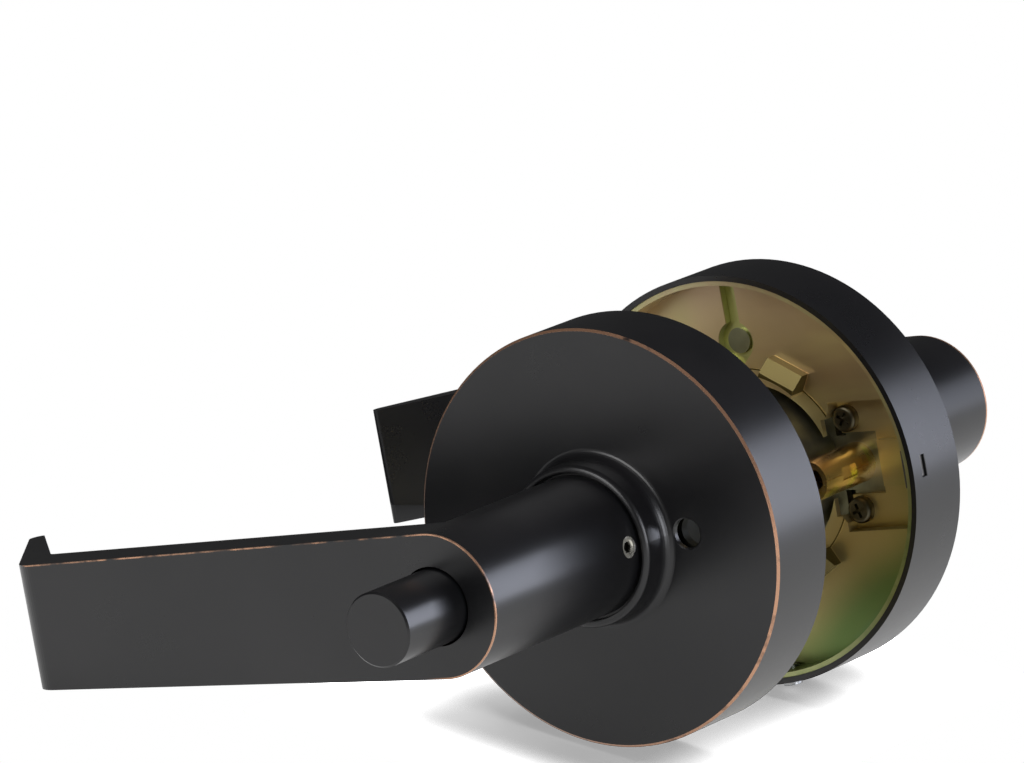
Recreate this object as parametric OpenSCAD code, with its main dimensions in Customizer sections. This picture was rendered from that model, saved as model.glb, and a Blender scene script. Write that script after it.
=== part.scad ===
// Privacy door lock: two lever sets, a push button inside and an indicator rose outside.
// The lock's axis is Y, the levers point to -X and Z is up. The inside set is at -Y.
// Each set is drawn in a frame of its own, with the door face at z = 0, z pointing away
// from the door, x to the right and y up. inside_set() and outside_set() place it.

/* [Door] */
// Thickness of the door between the two roses
door_t = 35; // [32:0.5:51]
// Diameter of the round hole through the door
bore_d = 54; // [53:0.5:60]

/* [Rose] */
// Outside diameter of both roses
rose_d = 88.9; // [87:0.1:95]
// Depth of a rose, from the door to its plain face
rose_depth = 17.8; // [17.8:0.1:22]
// Thickness of the rose's sheet
rose_wall = 1.2; // [0.8:0.1:1.2]
// Bevel on the rose's front edge
rose_edge = 0.5; // [0.2:0.1:1.2]
// Diameter of the boss's flared foot on the rose's face
boss_d = 38.4; // [37:0.1:42]
// Diameter of the boss above its foot
boss_top_d = 34.6; // [34.6:0.1:36]
// Height of the boss over the face
boss_h = 7.4; // [5:0.1:9]
// Height of the flared foot
boss_foot_h = 2.8; // [1.5:0.1:4]
// Round of the boss's shoulder
boss_round = 1.2; // [0.5:0.1:1.2]
// Height of the catch slot over the door
rim_fix_z = 4.2; // [3.5:0.1:5]

/* [Indicator] */
// Inner radius of the indicator window
window_r1 = 25; // [24.5:0.1:28]
// Outer radius of the indicator window
window_r2 = 38.5; // [34:0.1:39]
// Half angle of the window
window_half = 40; // [25:1:42]
// Corner radius of the window
window_corner = 1.4; // [0.5:0.1:2.5]
// Turn of the indicator disc from vacant to occupied
disc_turn = 86; // [84:1:88]
// Thickness of the indicator disc
disc_t = 0.6; // [0.4:0.1:0.7]
// Thickness of the coloured panels on the disc
panel_t = 0.2; // [0.1:0.05:0.25]
// Thickness of the white symbols on the panels
symbol_t = 0.15; // [0.1:0.05:0.2]

/* [Lever] */
// Diameter of the lever's neck
neck_d = 30; // [29:0.1:30.4]
// Gap between the neck and the boss's mouth
neck_gap = 0.6; // [0.3:0.1:0.8]
// Depth of the neck's end behind the rose's plain face
neck_sink = 1.5; // [1:0.1:1.6]
// Distance from the door to the lever's flat front
lever_front = 76.2; // [72:0.1:84]
// Thickness of the lever's blade
lever_t = 10.8; // [8:0.1:12]
// Distance from the lock's axis to the bend at the tip
lever_reach = 106; // [90:0.5:125]
// Height of the blade at the bend
tip_h = 26.7; // [22:0.1:29]
// Length of the return beyond the bend
return_len = 38.7; // [20:0.1:42]
// Lean of the return away from the door's normal
return_lean = 35.3; // [0:0.1:45]
// Thickness of the return at the bend
return_root = 7.4; // [5:0.1:9]
// Thickness of the return at its end
return_end = 3.2; // [2.5:0.1:5]
// Outer radius of the bend
bend_r = 6; // [1:0.1:8]
// Diameter of the lever's set screw
lever_screw_d = 4.5; // [4:0.1:5]
// Height of the lever's set screw over the rose's face
lever_screw_up = 10.2; // [6:0.1:18]
// Diameter of the emergency release hole in the outside lever
release_d = 3.2; // [2.5:0.1:4]

/* [Button] */
// Diameter of the push button
button_d = 15.6; // [13:0.1:16.4]
// Length of the button in front of the lever at rest
button_out = 19.7; // [10:0.1:24]
// Travel of the button and of the lock slider
button_travel = 8; // [7:0.1:8]
// Gap round the button in the lever's face
button_gap = 0.45; // [0.2:0.05:0.6]
// Bevel on the button's end edge
button_edge = 0.4; // [0.2:0.1:1]

/* [Spindle and rod] */
// Width of the square half spindles
spindle_w = 8; // [7:0.1:8.2]
// Diameter of the rod that the button pushes
rod_d = 4; // [3.5:0.1:4.2]
// Gap round the rod in the spindles and the hub
rod_gap = 0.35; // [0.2:0.05:0.5]
// Gap between each half spindle and the middle of the door
spindle_gap = 0.5; // [0.2:0.1:2]

/* [Hub and cage] */
// Diameter of the hub inside the neck
hub_d = 22; // [21.6:0.1:22.4]
// Bore of the hub
hub_bore = 13; // [12.6:0.1:13.4]
// Running fit of the hub in the cage and of the disc on the cage
run_fit = 0.08; // [0.04:0.01:0.1]
// Distance from the door to the hub's outer end
hub_end = 40; // [36:0.5:44]
// Length of the hub's nose inside the door
nose_len = 8; // [4:0.5:12]
// Diameter of the hub's nose
nose_d = 15; // [13.5:0.1:18]
// Thickness of the hub's flange
flange_t = 1.4; // [1:0.1:1.6]
// Outside diameter of the spring cage
cage_d = 35.4; // [35.2:0.1:35.6]
// Wall of the spring cage
cage_wall = 1; // [0.8:0.1:1]
// Distance from the door to the cage's floor
cage_z = 2; // [1.8:0.1:2.2]
// Thickness of the cage's floor
cage_web = 1.2; // [1:0.1:1.3]
// Wall of the cage's guide sleeve
sleeve_wall = 1.32; // [1.2:0.02:1.36]
// Most that a lever turns up or down
lever_turn = 55; // [45:1:55]
// Width of the lock slider's ears
ear_w = 3.6; // [3:0.1:3.8]
// Thickness of the lock slider
ear_t = 2.6; // [2:0.1:2.6]

/* [Liner and yoke] */
// Depth of the liner's floor behind the rim
floor_z = 8; // [7:0.1:8.1]
// Thickness of the liner's sheet
liner_t = 1.2; // [1:0.1:1.2]
// Diameter of the liner's central hole
liner_hole_d = 38.8; // [37:0.1:40]
// Depth of the pads behind the liner's floor
pad_drop = 3.4; // [3:0.1:3.4]
// Half width of the pads
pad_half = 14; // [13.6:0.1:16]
// Thickness of the yoke
yoke_t = 2; // [1.5:0.1:2]
// Distance of the through bolts from the lock's axis
bolt_x = 22.5; // [22.3:0.1:22.6]
// Diameter of the through-bolt holes in the inside rose
bolt_hole_d = 6.4; // [5.5:0.1:6.6]
// Diameter of the posts
post_d = 8.8; // [8:0.1:8.8]
// Length of the posts from the yoke
post_len = 19; // [18:0.1:26]
// Tapped hole of the posts
post_thread_d = 4.2; // [3.3:0.1:5]
// Distance of the liner screws from the lock's axis
screw_x = 22.6; // [22:0.1:24]
// Distance of the liner screws from the middle line
screw_y = 9.9; // [9.6:0.1:10.6]
// Shank diameter of the liner and cage screws
screw_d = 3; // [2.5:0.1:3.2]
// Diameter of the rivet at 12 o'clock
rivet_d = 5.5; // [4:0.1:6.5]
// Distance of that rivet from the lock's axis
rivet_y = 28.5; // [28:0.1:30]

/* [Springs] */
// Wire of the levers' return springs
return_wire = 1.2; // [0.8:0.1:1.2]
// Turns of the levers' return springs
return_turns = 4.25; // [3.25:1:4.25]
// Wire of the button's spring
button_wire = 1; // [0.8:0.1:1.1]
// Turns of the button's spring
button_turns = 5.5; // [4.5:1:6.5]
// Wire of the slider's spring
slider_wire = 0.8; // [0.6:0.1:0.9]
// Turns of the slider's spring
slider_turns = 7; // [5:1:8]

/* [Hidden] */
$fn = 96;

bronze = [0.10, 0.095, 0.10];
yellow_zinc = [0.62, 0.55, 0.26];
pale_zinc = [0.66, 0.66, 0.62];
dark_steel = [0.28, 0.27, 0.24];
spring_steel = [0.55, 0.56, 0.58];
signal_green = [0.0, 0.72, 0.2];
signal_red = [0.78, 0.06, 0.06];

eps = 0.01;
// Side gap of loose parts and side gap of tight seats
loose = 0.2;
seat = 0.02;

rose_r = rose_d / 2;
rose_back = rose_depth - rose_wall;
boss_r = boss_d / 2;
boss_top = rose_depth + boss_h;
neck_r = neck_d / 2;
mouth_r = neck_r + neck_gap;
neck_z = rose_depth - neck_sink;
hub_r = hub_d / 2;

// The bush between neck and boss
side_r = boss_top_d / 2;
bush_r = side_r - rose_wall - 0.05;
bush_top = boss_top - rose_wall;
bush_z = neck_z + 0.1;

// Liner
liner_r = rose_r - rose_wall - 0.05;
liner_wall = 1;
liner_in = liner_r - liner_wall;
liner_lip = 0.4;
floor_back = floor_z + liner_t;
pad_z = floor_z + pad_drop;
pad_x = 20.4;
plateau_x = 30;
plateau_half = 5;
plateau_h = 1.7;
recess_z = floor_z + 2;
recess_back = recess_z + liner_t;
collar_r = 22.8;
collar_h = 0.3;
tear_r = 4.4;
channel_half = 1.8;
tab_in = bore_d / 2 - 5.5;
tab_out = bore_d / 2 - 0.7;
tab_w = 9;
tab_h = 4.5;

// Yoke, just behind the pads, and the disc behind it
yoke_z = pad_z + liner_t;
yoke_back = yoke_z + yoke_t;
yoke_r = 24.5;
yoke_x = 30;
yoke_y = 13.5;
disc_z = yoke_back + 0.8;
sleeve_top = yoke_back + loose;
panel_z = disc_z + disc_t;
symbol_z = panel_z + panel_t;

// Slots beside the posts, through the liner and the yoke
slot_x = 19.4;
slot_y = 8.2;
slot_size = [2.4, 4.6];

// Screw heads
head_r = 2.9;
head_h = 2;
cage_screw_y = 20.8;
cage_screw_turn = 30;
cage_head_r = 2.75;
cage_head_h = 1.7;

// Cage, hub and springs
cage_r = cage_d / 2;
cage_in = cage_r - cage_wall;
web_top = cage_z + cage_web;
sleeve_in = hub_r + run_fit;
sleeve_r = sleeve_in + sleeve_wall;
flange_r = cage_r - 0.5;
flange_z = cage_z - loose - flange_t;
coil_r = cage_in - 0.15 - return_wire / 2;
coil_z = web_top + 0.05 + return_wire / 2;
coil_space = yoke_z - 0.35 - return_wire / 2 - coil_z;
coil_pitch = coil_space / return_turns;
leg_r = return_wire / 2 + loose;
leg_half = asin(leg_r / coil_r);
lug_half = leg_half + 5;
lug_r1 = coil_r - 0.8;
lug_r2 = cage_in - loose;
lug_slot_half = lever_turn + lug_half + 1;
coil_start = 270;
coil_end = coil_start + return_turns * 360;
clip_z = sleeve_top + loose;
clip_t = 0.95;
clip_in = hub_r - 0.8;
clip_r = sleeve_r - 0.25;

// Rod, slider and indicator sleeve
socket_w = spindle_w + loose;
core_top = 4;
slider_z = core_top + loose;
slider_r = hub_bore / 2 - loose;
bore_r = hub_bore / 2;
rod_hole_r = rod_d / 2 + rod_gap;
web_in_top = core_top + 2;
slider_step = 24;
carrier_in = sleeve_r + run_fit;
carrier_r = carrier_in + 1.3;
carrier_z = web_top + loose;
ear_tip = carrier_r;
notch_w = ear_w + 0.3;
notch_top = slider_z + button_travel + ear_t + 0.6;
cam_steps = 12;
disc_hub_r = 21;
disc_r = window_r2 + (rose_r - rose_wall - window_r2) * 26 / 95;
disc_in = window_r1 - 1.5;
disc_half = disc_turn / 2;

// Button, at rest
button_r = button_d / 2;
face_hole_r = button_r + button_gap;
cavity_r = face_hole_r + 1.25;
shoulder_z = lever_front - 10.2;
button_flange_t = 2.8;
button_flange_r = cavity_r - 0.3;
button_back = shoulder_z - 8;
seat_t = 1.2;
button_coil_r = 5.5;
slider_coil_r = 5;

// Places a set on its side of the door
module inside_set() {
    translate([0, -door_t / 2, 0]) rotate([90, 0, 0]) children();
}
module outside_set() {
    mirror([0, 1, 0]) inside_set() children();
}

// A tube along Z from z1 to z2
module ring(r_in, r_out, z1, z2) {
    translate([0, 0, z1]) difference() {
        cylinder(r = r_out, h = z2 - z1);
        translate([0, 0, -1]) cylinder(r = r_in, h = z2 - z1 + 2);
    }
}

// A flat wedge between two angles, as long as reach, to cut rings with
module wedge(a1, a2, reach) {
    steps = ceil((a2 - a1) / 45);
    polygon(concat([[0, 0]], [for (i = [0:steps])
        let (a = a1 + (a2 - a1) * i / steps) [reach * cos(a), reach * sin(a)]]));
}

// A sector of a flat ring
module sector(r1, r2, a1, a2) {
    intersection() {
        difference() {
            circle(r = r2);
            circle(r = r1);
        }
        wedge(a1, a2, r2 * 2);
    }
}

// A polygon's points with a round of its own at each corner
function turn_arc(p, q, s, r, n) =
    let (
        a = (p - q) / norm(p - q),
        b = (s - q) / norm(s - q),
        half = acos(a * b) / 2,
        mid = (a + b) / norm(a + b),
        c = q + mid * r / sin(half),
        t1 = q + a * r / tan(half) - c,
        t2 = q + b * r / tan(half) - c,
        a1 = atan2(t1[1], t1[0]),
        a2 = atan2(t2[1], t2[0]),
        sweep = (a2 - a1) > 180 ? a2 - a1 - 360 : (a2 - a1) < -180 ? a2 - a1 + 360 : a2 - a1
    )
    [for (i = [0:n]) c + r * [cos(a1 + sweep * i / n), sin(a1 + sweep * i / n)]];
function rounded(pts, rads, n) =
    let (m = len(pts))
    [for (i = [0:m - 1])
        each rads[i] == 0 ? [pts[i]] : turn_arc(pts[(i + m - 1) % m], pts[i], pts[(i + 1) % m], rads[i], n)];

// A round wire along a path that winds about Z
function unit(v) = v / norm(v);
function wire_ring(path, i, r, sides) =
    let (
        last = len(path) - 1,
        t = unit(path[min(i + 1, last)] - path[max(i - 1, 0)]),
        out = unit([path[i][0], path[i][1], 0]),
        n2 = unit(cross(t, out)),
        n1 = cross(n2, t)
    )
    [for (k = [0:sides - 1]) path[i] + r * (cos(360 * k / sides) * n1 + sin(360 * k / sides) * n2)];
module wire(path, r, sides = 6) {
    rows = len(path);
    points = [for (i = [0:rows - 1]) each wire_ring(path, i, r, sides)];
    skin = [for (i = [0:rows - 2], k = [0:sides - 1])
        let (a = i * sides + k, b = i * sides + (k + 1) % sides)
        each [[a, a + sides, b], [b, a + sides, b + sides]]];
    caps = [for (k = [1:sides - 2])
        each [[0, k, k + 1], [(rows - 1) * sides, (rows - 1) * sides + k + 1, (rows - 1) * sides + k]]];
    polyhedron(points = points, faces = concat(skin, caps));
}
function helix(r, z, pitch, turns, start) =
    [for (i = [0:round(turns * 8)])
        let (a = start + i * 45) [r * cos(a), r * sin(a), z + pitch * i / 8]];
// Least gap between two runs of a wire that are over half a turn apart
function least_gap(path, d) =
    min([for (i = [0:len(path) - 1], j = [i + 5:1:len(path) - 1]) norm(path[i] - path[j])]) - d;

// Rose
function boss_curve(n) = concat(
    [for (i = [0:n]) let (a = 90 * i / n)
        [boss_r - (boss_r - side_r) * sin(a), rose_depth + boss_foot_h * (1 - cos(a))]],
    [for (i = [0:n]) let (a = 90 * i / n)
        [side_r - boss_round * (1 - cos(a)), boss_top - boss_round * (1 - sin(a))]]);
module rose_shell() {
    lip_w = (side_r - boss_round - mouth_r) * 0.6;
    lip_h = 0.3;
    rotate_extrude($fn = 180) polygon(concat(
        [[rose_r, 0], [rose_r, rose_depth - rose_edge], [rose_r - rose_edge, rose_depth]],
        boss_curve(8),
        [[mouth_r + lip_w, boss_top], [mouth_r + lip_w, boss_top - lip_h],
            [mouth_r + 0.15, boss_top - lip_h], [mouth_r, boss_top - lip_h - 0.15],
            [mouth_r, bush_top], [bush_r + 0.05, bush_top], [bush_r + 0.05, rose_back],
            [rose_r - rose_wall, rose_back], [rose_r - rose_wall, 0]]));
}
module window_shape() {
    c = window_corner;
    rotate(90) {
        intersection() {
            sector(window_r1, window_r2, -window_half, window_half);
            translate([c / sin(window_half), 0]) wedge(-window_half, window_half, 2 * window_r2);
        }
        sector(window_r1 + c, window_r2 - c, -window_half, window_half);
        for (side = [-1, 1], rc = [window_r1 + c, window_r2 - c]) {
            rotate(side * (window_half - asin(c / rc))) translate([rc, 0]) circle(r = c, $fn = 48);
        }
    }
}
hole_dish = 0.2;
module inside_rose() {
    color(bronze) inside_set() difference() {
        rose_shell();
        for (side = [-1, 1]) {
            translate([side * bolt_x, 0, rose_back - 1]) cylinder(d = bolt_hole_d, h = rose_wall + 2, $fn = 48);
            translate([side * bolt_x, 0, rose_depth - hole_dish])
                cylinder(d1 = bolt_hole_d, d2 = bolt_hole_d + 5 * hole_dish, h = 2 * hole_dish, $fn = 48);
        }
    }
}
catch_slot = [2, 4.8];
module rim_slot(r_in, r_out) {
    translate([r_in, -catch_slot[1] / 2, rim_fix_z - catch_slot[0] / 2])
        cube([r_out - r_in, catch_slot[1], catch_slot[0]]);
}
rose_screw_r = 2;
rose_screw_z = 7;
rose_screw_in = liner_in - 0.6;
module rim_hole() {
    translate([0, 0.1 - rose_screw_in, rose_screw_z]) rotate([90, 0, 0])
        cylinder(r = rose_screw_r + seat, h = 10, $fn = 48);
}
module outside_rose() {
    color(bronze) outside_set() difference() {
        rose_shell();
        translate([0, 0, rose_back - 1]) linear_extrude(rose_wall + 2) window_shape();
        rim_slot(rose_r - rose_wall - 1, rose_r + 1);
        rim_hole();
    }
}

// Liner: a dish with a floor, sunken pads, a sunken channel and centring tabs
module teardrop(grow) {
    circle_r = tear_r + grow;
    point = tear_r * 1.4 + grow * 1.4;
    translate([0, rivet_y]) {
        circle(r = circle_r);
        polygon([[-circle_r * 0.7, -circle_r * 0.7], [0, -point], [circle_r * 0.7, -circle_r * 0.7]]);
    }
    translate([-channel_half - grow, rivet_y]) square([2 * (channel_half + grow), rose_r]);
}
module pad_box(x_in, half, r_out, z1, z2) {
    intersection() {
        translate([x_in, -half, z1]) cube([rose_r, 2 * half, z2 - z1]);
        translate([0, 0, z1]) cylinder(r = r_out, h = z2 - z1);
    }
}
module tab() {
    rotate([90, 0, 0]) linear_extrude(tab_w, center = true) polygon([
        [tab_in, floor_z + liner_t / 2], [tab_out, floor_z + liner_t / 2], [tab_out, floor_z - tab_h * 0.6],
        [tab_in + 1.6, floor_z - tab_h], [tab_in, floor_z - tab_h]]);
}
module liner_dish(hole_r) {
    difference() {
        union() {
            ring(liner_in, liner_r, liner_lip, floor_back);
            ring(liner_hole_d / 2, liner_r, floor_z, floor_back);
            ring(liner_hole_d / 2, collar_r, floor_z - collar_h, floor_back);
            for (turn = [0, 180]) rotate(turn) {
                pad_box(pad_x - liner_t, pad_half + liner_t, liner_r, floor_z, yoke_z);
            }
            intersection() {
                translate([0, 0, floor_z]) linear_extrude(recess_back - floor_z) teardrop(liner_t);
                cylinder(r = liner_r, h = rose_depth);
            }
        }
        for (turn = [0, 180]) rotate(turn) {
            difference() {
                pad_box(pad_x, pad_half, liner_in, liner_lip, pad_z);
                pad_box(plateau_x, plateau_half, liner_in + 1, pad_z - plateau_h, pad_z + 1);
            }
            translate([pad_x, -screw_y + head_r + 0.3, liner_lip])
                cube([plateau_x - 1 - pad_x, 2 * (screw_y - head_r - 0.3), rose_depth]);
            translate([slot_x - slot_size[0] / 2, -slot_y, liner_lip]) cube([slot_size[0], 2 * slot_y, rose_depth]);
            translate([bolt_x, 0, liner_lip]) cylinder(r = hole_r, h = rose_depth);
            for (side = [-1, 1]) translate([slot_x, side * slot_y, 0])
                linear_extrude(rose_depth) square(slot_size, center = true);
            for (side = [-1, 1]) translate([screw_x, side * screw_y, liner_lip]) {
                cylinder(d = screw_d + loose, h = rose_depth, $fn = 48);
                cylinder(r = head_r + loose, h = pad_z - liner_lip);
            }
        }
        intersection() {
            translate([0, 0, liner_lip]) linear_extrude(recess_z - liner_lip) teardrop(0);
            cylinder(r = liner_in, h = rose_depth);
        }
        translate([0, rivet_y, floor_z]) cylinder(r = rivet_shank_r + seat, h = rose_depth, $fn = 48);
    }
    for (a = [60, 120, 240, 300]) rotate(a) tab();
}
rivet_shank_r = 1.5;
module inside_liner() {
    color(yellow_zinc) inside_set() liner_dish(bolt_hole_d / 2 + loose);
}
module outside_liner() {
    color(yellow_zinc) outside_set() difference() {
        liner_dish(post_d / 2 + loose);
        rim_slot(liner_in - 1, liner_r + 1);
        rim_hole();
    }
}

// Yoke: the plate that carries the cage, and outside the posts
module yoke_plate(hole_r) {
    difference() {
        translate([0, 0, yoke_z]) linear_extrude(yoke_t) difference() {
            union() {
                circle(r = yoke_r);
                square([2 * yoke_x, 2 * yoke_y], center = true);
            }
            circle(r = carrier_r + 0.4);
            for (side = [-1, 1]) {
                translate([side * bolt_x, 0]) circle(r = hole_r, $fn = 48);
                rotate(cage_screw_turn) translate([0, side * cage_screw_y])
                    circle(d = screw_d + 2 * seat, $fn = 48);
                for (up = [-1, 1]) translate([side * screw_x, up * screw_y])
                    circle(d = screw_d + 2 * seat, $fn = 48);
                for (up = [-1, 1]) translate([side * slot_x, up * slot_y]) square(slot_size, center = true);
            }
        }
        translate([coil_r * cos(coil_end), coil_r * sin(coil_end), yoke_z - 1])
            cylinder(r = leg_r, h = yoke_t + 2, $fn = 32);
    }
}
post_stub_r = 3;
module inside_yoke() {
    color(pale_zinc) inside_set() yoke_plate(bolt_hole_d / 2 + loose);
}
module outside_yoke() {
    color(pale_zinc) outside_set() yoke_plate(post_stub_r + seat);
}
module bolt_posts() {
    mouth_depth = 2.2;
    thread_depth = 16;
    window = [5.4, 2.7];
    window_from_yoke = 10;
    color(yellow_zinc) outside_set() for (turn = [0, 180]) rotate(turn) translate([bolt_x, 0, 0]) difference() {
        union() {
            translate([0, 0, yoke_z - post_len]) cylinder(d = post_d, h = post_len);
            translate([0, 0, yoke_z]) cylinder(r = post_stub_r, h = yoke_t);
        }
        translate([0, 0, yoke_z - post_len - 1]) {
            cylinder(d = post_thread_d, h = thread_depth + 1, $fn = 48);
            cylinder(r = post_d / 2 - 1.1, h = mouth_depth + 1, $fn = 64);
        }
        translate([post_d / 2 - 0.8, -window[1] / 2, yoke_z - window_from_yoke - window[0] / 2])
            cube([2, window[1], window[0]]);
        translate([post_d / 2 - 0.3, -0.1, yoke_z - post_len - 1]) cube([1, 0.2, post_len - 2]);
    }
}

// A round-headed screw with a cross recess, its head's seat at z = 0 and its head towards -z
module cross_screw(r_head, h_head, length) {
    recess = r_head * 0.55;
    difference() {
        union() {
            rotate_extrude($fn = 48) polygon(rounded(
                [[0, 0], [r_head, 0], [r_head, -h_head], [0, -h_head]], [0, 0, h_head * 0.45, 0], 5));
            cylinder(d = screw_d, h = length, $fn = 48);
        }
        for (turn = [0, 90]) rotate(turn) translate([-recess, -0.35, -h_head - 1]) cube([2 * recess, 0.7, 2]);
    }
}
module liner_screw_set() {
    for (side = [-1, 1], up = [-1, 1]) translate([side * screw_x, up * screw_y, pad_z])
        rotate(37 * side + 20 * up) cross_screw(head_r, head_h, yoke_back - pad_z);
}
module inside_liner_screws() {
    color(dark_steel) inside_set() liner_screw_set();
}
module outside_liner_screws() {
    color(dark_steel) outside_set() liner_screw_set();
}

// Cage: a cup with an inner sleeve that the hub turns in
cage_ear_z = yoke_z - 1.2;
module cage() {
    difference() {
        union() {
            ring(cage_in, cage_r, cage_z, yoke_z);
            ring(sleeve_in, cage_r, cage_z, web_top);
            ring(sleeve_in, sleeve_r, cage_z, sleeve_top);
            for (turn = [0, 180]) rotate(turn + cage_screw_turn) difference() {
                translate([-7, cage_in + 0.3, cage_ear_z]) cube([14, 6.8, yoke_z - cage_ear_z]);
                translate([0, 0, cage_z]) cylinder(r = cage_in + 0.2, h = rose_depth);
                translate([0, cage_screw_y, cage_z]) cylinder(d = screw_d + loose, h = rose_depth, $fn = 48);
            }
        }
        translate([0, 0, cage_z - 1]) linear_extrude(cage_web + 2 - eps)
            sector(lug_r1 - loose, lug_r2 + loose, coil_start - lug_slot_half, coil_start + lug_slot_half);
    }
}
module inside_cage() {
    color(pale_zinc) inside_set() cage();
}
module outside_cage() {
    color(pale_zinc) outside_set() difference() {
        cage();
        intersection() {
            translate([-ear_w / 2 - 0.1, -sleeve_r - 0.1, core_top])
                cube([ear_w + 0.2, 2 * sleeve_r + 0.2, rose_depth]);
            translate([0, 0, core_top]) cylinder(r = sleeve_r + 0.1, h = rose_depth);
        }
    }
}
module cage_screw_set() {
    for (up = [-1, 1]) rotate(cage_screw_turn) translate([0, up * cage_screw_y, cage_ear_z])
        rotate(25) cross_screw(cage_head_r, cage_head_h, yoke_back - cage_ear_z);
}
module inside_cage_screws() {
    color(dark_steel) inside_set() cage_screw_set();
}
module outside_cage_screws() {
    color(dark_steel) outside_set() cage_screw_set();
}

// Hub: nose, flange with two lugs that hold the spring's leg, and the tube that the neck slides over
lever_screw_z = rose_depth + lever_screw_up;
lever_screw_in = hub_r - 1.5;
module hub_blank() {
    difference() {
        union() {
            translate([0, 0, -nose_len]) cylinder(d = nose_d, h = nose_len + flange_z + eps);
            translate([0, 0, flange_z]) cylinder(r = flange_r, h = flange_t);
            cylinder(r = hub_r, h = hub_end);
            translate([0, 0, flange_z + flange_t - eps]) linear_extrude(web_top - flange_z - flange_t)
                for (side = [-1, 1]) rotate(coil_start + side * (leg_half + lug_half) / 2)
                    sector(lug_r1, lug_r2, (leg_half - lug_half) / 2, (lug_half - leg_half) / 2);
        }
        translate([-socket_w / 2, -socket_w / 2, -nose_len - 1])
            cube([socket_w, socket_w, nose_len + 1 + core_top]);
        ring(clip_in, hub_r + 1, clip_z - 0.05, clip_z + clip_t + 0.05);
        translate([lever_screw_in, 0, lever_screw_z]) rotate([0, 90, 0])
            cylinder(d = lever_screw_d + 2 * seat, h = hub_r, $fn = 48);
    }
}
module inside_hub() {
    color(dark_steel) inside_set() difference() {
        hub_blank();
        translate([0, 0, core_top - 1]) cylinder(r = rod_hole_r, h = hub_end, $fn = 48);
        translate([0, 0, web_in_top]) cylinder(r = bore_r, h = hub_end);
    }
}
module outside_hub() {
    open_half = lever_turn + asin(ear_w / 2 / bore_r) + 4;
    window_top = slider_z + ear_t + loose;
    color(dark_steel) outside_set() difference() {
        hub_blank();
        translate([0, 0, core_top]) cylinder(r = bore_r, h = slider_step - core_top);
        translate([0, 0, core_top]) cylinder(r = bore_r / 2, h = hub_end);
        translate([0, 0, core_top]) linear_extrude(window_top - core_top)
            for (a = [90, 270]) sector(bore_r - 1, hub_r + 1, a - open_half, a + open_half);
        for (a = [90, 270], b = [-lever_turn, 0, lever_turn]) rotate(a + b)
            translate([bore_r - 1, -notch_w / 2, slider_z + ear_t / 2])
                cube([hub_r - bore_r + 2, notch_w, notch_top - slider_z - ear_t / 2]);
    }
}

// Circlip on the hub, open on one side
module circlip() {
    translate([0, 0, clip_z]) linear_extrude(clip_t) sector(clip_in + seat, clip_r, -65, 245);
}
module inside_circlip() {
    color(spring_steel) inside_set() circlip();
}
module outside_circlip() {
    color(spring_steel) outside_set() circlip();
}
module bushing() {
    ring(neck_r + run_fit, bush_r, bush_z, bush_top - 0.05);
}
module inside_bushing() {
    color([0.05, 0.05, 0.05]) inside_set() bushing();
}
module outside_bushing() {
    color([0.05, 0.05, 0.05]) outside_set() bushing();
}

// Return spring, with one leg down between the hub's lugs and one up in the yoke
return_path = concat(
    [for (z = [cage_z + 0.25, coil_z - 0.15]) [coil_r * cos(coil_start), coil_r * sin(coil_start), z]],
    helix(coil_r, coil_z + 0.25, coil_pitch - 0.5 / return_turns, return_turns, coil_start),
    [for (z = [coil_z + coil_space + 0.15, yoke_back - 0.2]) [coil_r * cos(coil_end), coil_r * sin(coil_end), z]]);
echo(return_spring_least_gap = least_gap(return_path, return_wire));
module inside_return_spring() {
    color(spring_steel) inside_set() wire(return_path, return_wire / 2);
}
module outside_return_spring() {
    color(spring_steel) outside_set() wire(return_path, return_wire / 2);
}

// Lever: a round neck, a flat blade that tapers to the bend, and the leaning return
lean_dir = [-sin(return_lean), -cos(return_lean)];
lean_in = [cos(return_lean), -sin(return_lean)];
tip_far = lever_reach + return_len * sin(return_lean) + 1;
function blade_half(x) = neck_r + (tip_h / 2 - neck_r) * x / lever_reach;
module blade_front() {
    circle(r = neck_r, $fn = 180);
    polygon(rounded([
        [0, neck_r], [-tip_far, blade_half(tip_far)], [-tip_far, -blade_half(tip_far)], [0, -neck_r]],
        [0, 1.8, 1.8, 0], 6));
}
module blade_top() {
    corner = [-lever_reach, lever_front];
    outer_end = corner + return_len * lean_dir;
    inner_end = outer_end + return_end * lean_in;
    // Where the return's inner face meets the blade's back
    back = lever_front - lever_t;
    root = corner + return_root * lean_in;
    run = inner_end - root;
    inner = root + run * (back - root[1]) / run[1];
    polygon(rounded(
        [[neck_r + 1, lever_front], corner, outer_end, inner_end, inner, [neck_r + 1, back]],
        [0, bend_r, return_end * 0.7, return_end * 0.25, 1.5, 0], 8));
}
module lever_blank() {
    cylinder_h = lever_front - neck_z;
    translate([0, 0, neck_z]) cylinder(r = neck_r, h = cylinder_h, $fn = 180);
    intersection() {
        linear_extrude(lever_front + 1) blade_front();
        rotate([90, 0, 0]) translate([0, 0, -neck_r - 5]) linear_extrude(2 * neck_r + 10) blade_top();
    }
}
module lever_screw_hole() {
    translate([hub_r - 2, 0, lever_screw_z]) rotate([0, 90, 0])
        cylinder(d = lever_screw_d + 2 * seat, h = neck_r, $fn = 48);
}
module inside_lever() {
    color(bronze) inside_set() difference() {
        lever_blank();
        translate([0, 0, neck_z - 1]) cylinder(r = hub_r + 0.05, h = hub_end - neck_z + 1);
        translate([0, 0, hub_end - 1]) cylinder(r = cavity_r, h = shoulder_z - hub_end + 1);
        translate([0, 0, hub_end]) cylinder(r = face_hole_r, h = lever_front);
        lever_screw_hole();
    }
}
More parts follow.
